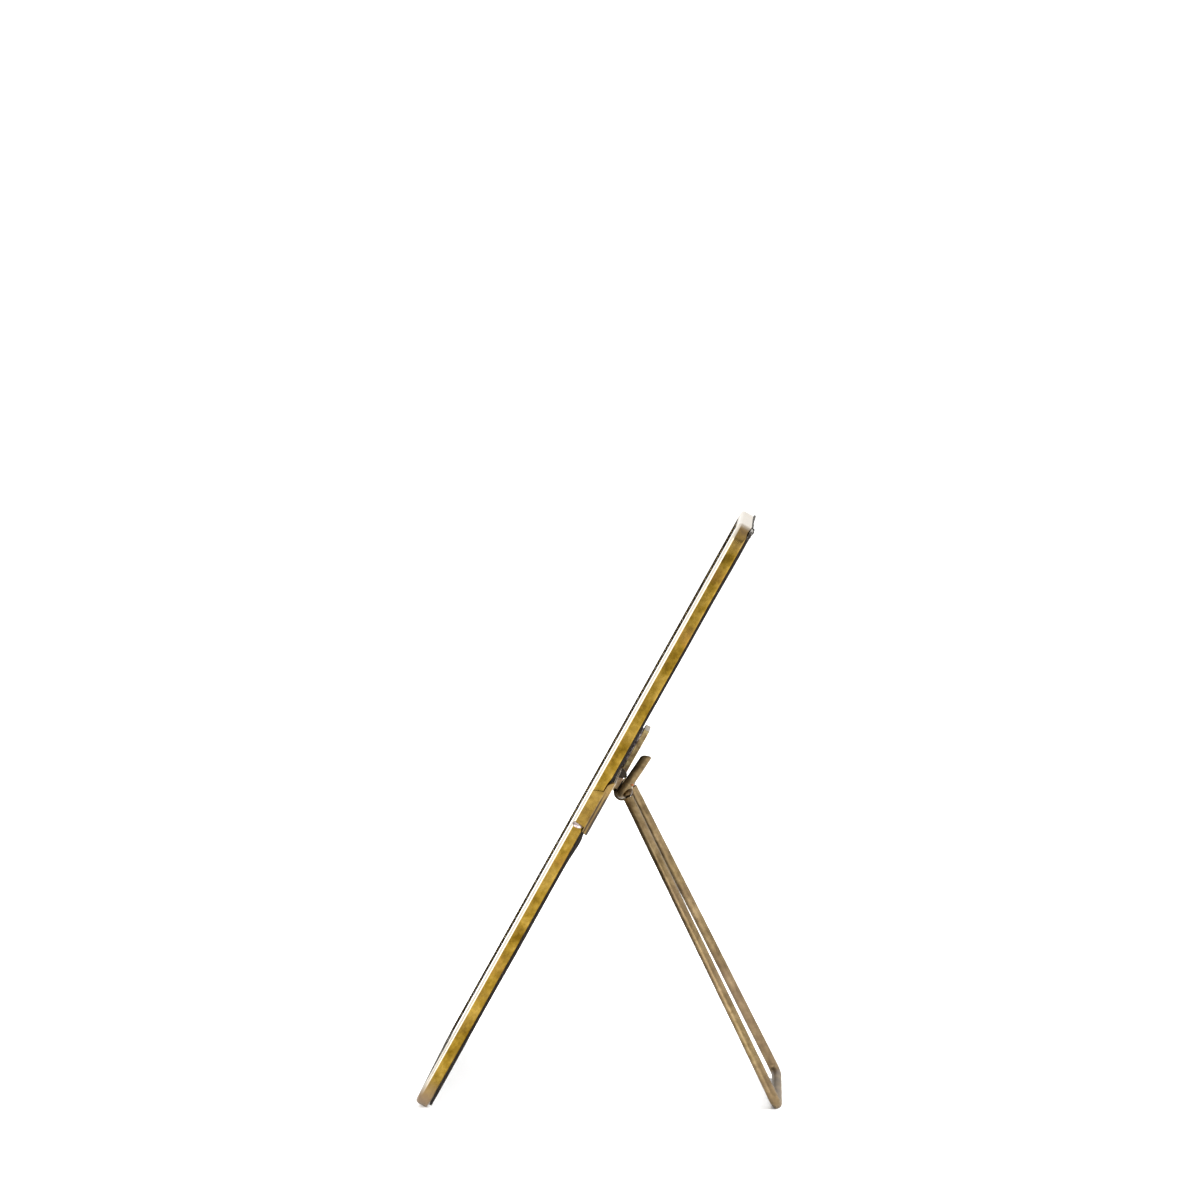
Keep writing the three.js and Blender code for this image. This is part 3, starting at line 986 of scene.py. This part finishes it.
def easel_lines():
    """The corner points of the pivot wire and of the leg wire, and the way the tail points."""
    low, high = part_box("leg_wire")
    radius = WIRE_RADIUS * MM
    pivot_half = (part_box("stop_bead")[0].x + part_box("stop_bead")[1].x) / 2
    foot = Vector((0, high.y - radius, low.z + radius))
    down = (foot - PIVOT).normalized()
    behind = ACROSS.cross(down)
    if behind.y < 0:
        behind = -behind
    tilt = math.radians(TAIL_TILT)
    tail = UP * math.cos(tilt) + BACK * math.sin(tilt)
    side = ACROSS * pivot_half
    pivot_wire = [PIVOT + side + tail * TAIL_LENGTH * MM, PIVOT + side, PIVOT - side - ACROSS * radius * 0.9]
    ends = []
    for sign in (1, -1):
        joint = PIVOT + side * sign + behind * LEG_END_OFFSET * MM
        far = foot + ACROSS * sign * FOOT_HALF * MM
        ends.append((joint + (far - joint).normalized() * LEG_END_GAP * MM, far))
    leg_wire = [ends[0][0], ends[0][1], ends[1][1], ends[1][0]]
    return pivot_wire, leg_wire, tail


def wire_piece(name, rings, node, grime_and_shade_at):
    """A piece from rings of points, each pushed a little in or out; the last argument gives, for a point and the
    middle of its ring, its grime and painted shade.
    """
    points = []
    grime_and_shade = []
    worn = []
    for ring in rings:
        middle = sum(ring, Vector()) / len(ring)
        for p in ring:
            push = wobble(p / MM, 0.05, 0.35) - 0.035
            points.append(p + (p - middle).normalized() * push * MM)
            worn.append(min(1, max(0, 0.15 + wobble(p / MM, 0.4, 0.06))))
            grime_and_shade.append(grime_and_shade_at(p, middle))
    piece = make_piece(name, points, sweep_faces(len(rings), WIRE_SIDES), WIRE_BRASS, "easel", [node])
    paint(piece, "worn", worn)
    paint(piece, "grime_and_shade", grime_and_shade)


def cut_end(rings, centre, way, slope, rounding):
    """Closes a wire with a filed end: slope tips the cut, way is a unit vector out of the end."""
    outward = (BACK - way * BACK.dot(way)).normalized()
    rings[0] = [p + way * (p - centre).dot(outward) * slope for p in rings[0]]
    caps = []
    for i in range(4, 0, -1):
        angle = math.pi / 2 * i / 4
        inset = rounding * (1 - math.cos(angle))
        lift = rounding * math.sin(angle) * WIRE_RADIUS * MM
        caps.append([centre + (p - centre) * (1 - inset) + way * lift for p in rings[0]])
    return caps + rings


def easel_wires():
    """The pivot wire, with painted shade on its side towards the frame, and the legs, with painted shade on their
    flanks, darker near the hinge and blotched at random.
    """
    pivot_wire, leg_wire, tail = easel_lines()
    line = filled(bent_line(pivot_wire, WIRE_BEND * MM), PIVOT_STEP * MM)
    rings = cut_end(tube(line, WIRE_RADIUS * MM, WIRE_SIDES), pivot_wire[0], tail, TAIL_CUT, TAIL_ROUNDING)

    def tail_shade(p, middle):
        # Painted shade on the side of the tail towards the frame, over an even darker tone
        facing = max(0, (p - middle).normalized().dot(-BACK))
        return min(0.88, 0.3 + 0.6 * facing)

    def leg_shade_and_grime(p, middle):
        # Painted shade on the flanks, darker near the hinge, with random dark blotches
        near_top = max(0, 1 - (PIVOT - middle).length / (12 * MM) + 0.6)
        sideways = 1 - abs((p - middle).normalized().x)
        return min(0.8, 0.55 * sideways + 0.15 * near_top + abs(wobble(p / MM, 0.2, 0.09)))

    wire_piece("pivot_wire_piece", rings, "pivot_wire", tail_shade)
    line = filled(bent_line(leg_wire, WIRE_BEND * MM), LEG_STEP * MM)
    wire_piece("leg_wire_piece", tube(line, WIRE_RADIUS * MM, WIRE_SIDES), "leg_wire", leg_shade_and_grime)


def braze():
    """A bead at the top of each leg, and a coppery spot above the near one."""
    for node, sign in (("braze_right", 1), ("braze_left", -1)):
        low, high = BOX[node]
        middle = (low + high) / 2
        lump(node + "_piece", (middle.x, middle.y - 0.3, middle.z + 0.1), (1.45, 1.25, 1.7), BRAZE, "easel",
             [node], 0.08, 1.1, 4 * sign)
    side = (BOX["braze_right"][0].x + BOX["braze_right"][1].x) / 2
    spot = (side + 0.7, PIVOT_LOCAL.y + 1.1, PIVOT_LOCAL.z + 4)
    lump("braze_spot", spot, (0.6, 0.7, 0.5), BRAZE_SPOT, "easel", ["braze_right"], 0.3, 1.3, 7)


easel_wires()
braze()


# Camera and light

def aim(yaw, pitch, roll):
    """Camera rotation: yaw turns the view about Z from -X, pitch tips it down, roll turns the picture."""
    yaw, pitch, roll = (math.radians(angle) for angle in (yaw, pitch, roll))
    ahead = Vector((-math.cos(yaw) * math.cos(pitch), math.sin(yaw) * math.cos(pitch), -math.sin(pitch)))
    level = ahead.cross(Vector((0, 0, 1))).normalized()
    top = level.cross(ahead)
    right = level * math.cos(roll) + top * math.sin(roll)
    top = top * math.cos(roll) - level * math.sin(roll)
    return Matrix((right, top, -ahead)).transposed()


def add_camera():
    """The camera, placed from the foot of the frame."""
    data = bpy.data.cameras.new("camera")
    data.lens = LENS
    data.sensor_width = SENSOR
    data.clip_start = 0.05
    camera = bpy.data.objects.new("camera", data)
    turned = aim(CAMERA_YAW, CAMERA_PITCH, CAMERA_ROLL).to_4x4()
    camera.matrix_world = Matrix.Translation(ORIGIN + Vector(CAMERA_OFFSET)) @ turned
    bpy.context.scene.collection.objects.link(camera)
    bpy.context.scene.camera = camera


def add_lamp(name, place_at, target, size, power, seen_in_gloss):
    """A rectangular lamp turned to its target."""
    data = bpy.data.lights.new(name, "AREA")
    data.shape = "RECTANGLE"
    data.size, data.size_y = size
    data.energy = power
    light = bpy.data.objects.new(name, data)
    towards = Vector(target) - Vector(place_at)
    light.visible_glossy = seen_in_gloss
    light.matrix_world = Matrix.Translation(place_at) @ towards.to_track_quat("-Z", "Y").to_matrix().to_4x4()
    bpy.context.scene.collection.objects.link(light)


def add_world():
    """A light tent, white all round, with a dimmer level band to +X that shows only in the gloss."""
    world = bpy.data.worlds.new("studio")
    world.use_nodes = True
    tree = world.node_tree
    background = tree.nodes["Background"]
    way = add_node(tree, "TexCoord")
    parts = add_node(tree, "SeparateXYZ")
    join(tree, way, "Generated", parts, "Vector")
    dim_side = add_node(tree, "MapRange", {"From Min": 0.2, "From Max": 0.6})
    join(tree, parts, "X", dim_side, "Value")
    height = add_node(tree, "Math", operation="ABSOLUTE")
    join(tree, parts, "Z", height, 0)
    level = add_node(tree, "MapRange", {"From Min": 0.16, "From Max": 0.3, "To Min": 1.0, "To Max": 0.0})
    join(tree, height, "Value", level, "Value")
    band = add_node(tree, "Math", operation="MULTIPLY")
    join(tree, dim_side, "Result", band, 0)
    join(tree, level, "Result", band, 1)
    glow = add_node(tree, "MapRange", {"To Min": OPEN_GLOW, "To Max": SIDE_GLOW})
    join(tree, band, "Value", glow, "Value")
    path = add_node(tree, "LightPath")
    strength = add_node(tree, "Mix", {"A": WHITE_GLOW}, data_type="FLOAT")
    join(tree, path, "Is Glossy Ray", strength, "Factor")
    join(tree, glow, "Result", strength, "B")
    join(tree, strength, "Result", background, "Strength")
    background.inputs["Color"].default_value = (1, 1, 1, 1)
    bpy.context.scene.world = world
    bpy.context.scene.view_settings.view_transform = "Standard"


def add_floor():
    """A plain pale floor, level with the foot of the frame."""
    material, tree, shader = new_material("floor_white")
    space = object_space(tree)
    texture, tone = noise_ramp(tree, space, 3, [(0.3, grey(0.93)), (0.7, grey(0.95))])
    join(tree, tone, "Color", shader, "Base Color")
    set_roughness(tree, shader, texture, 0.7, 0.8)
    half = FLOOR_HALF
    corners = [(-half, -half, 0), (half, -half, 0), (half, half, 0), (-half, half, 0)]
    mesh = bpy.data.meshes.new("floor")
    mesh.from_pydata(corners, [], [(0, 1, 2, 3)])
    mesh.materials.append(material)
    floor = bpy.data.objects.new("floor", mesh)
    bpy.context.scene.collection.objects.link(floor)


add_camera()
add_world()
add_floor()
for lamp in LAMPS:
    add_lamp(*lamp)
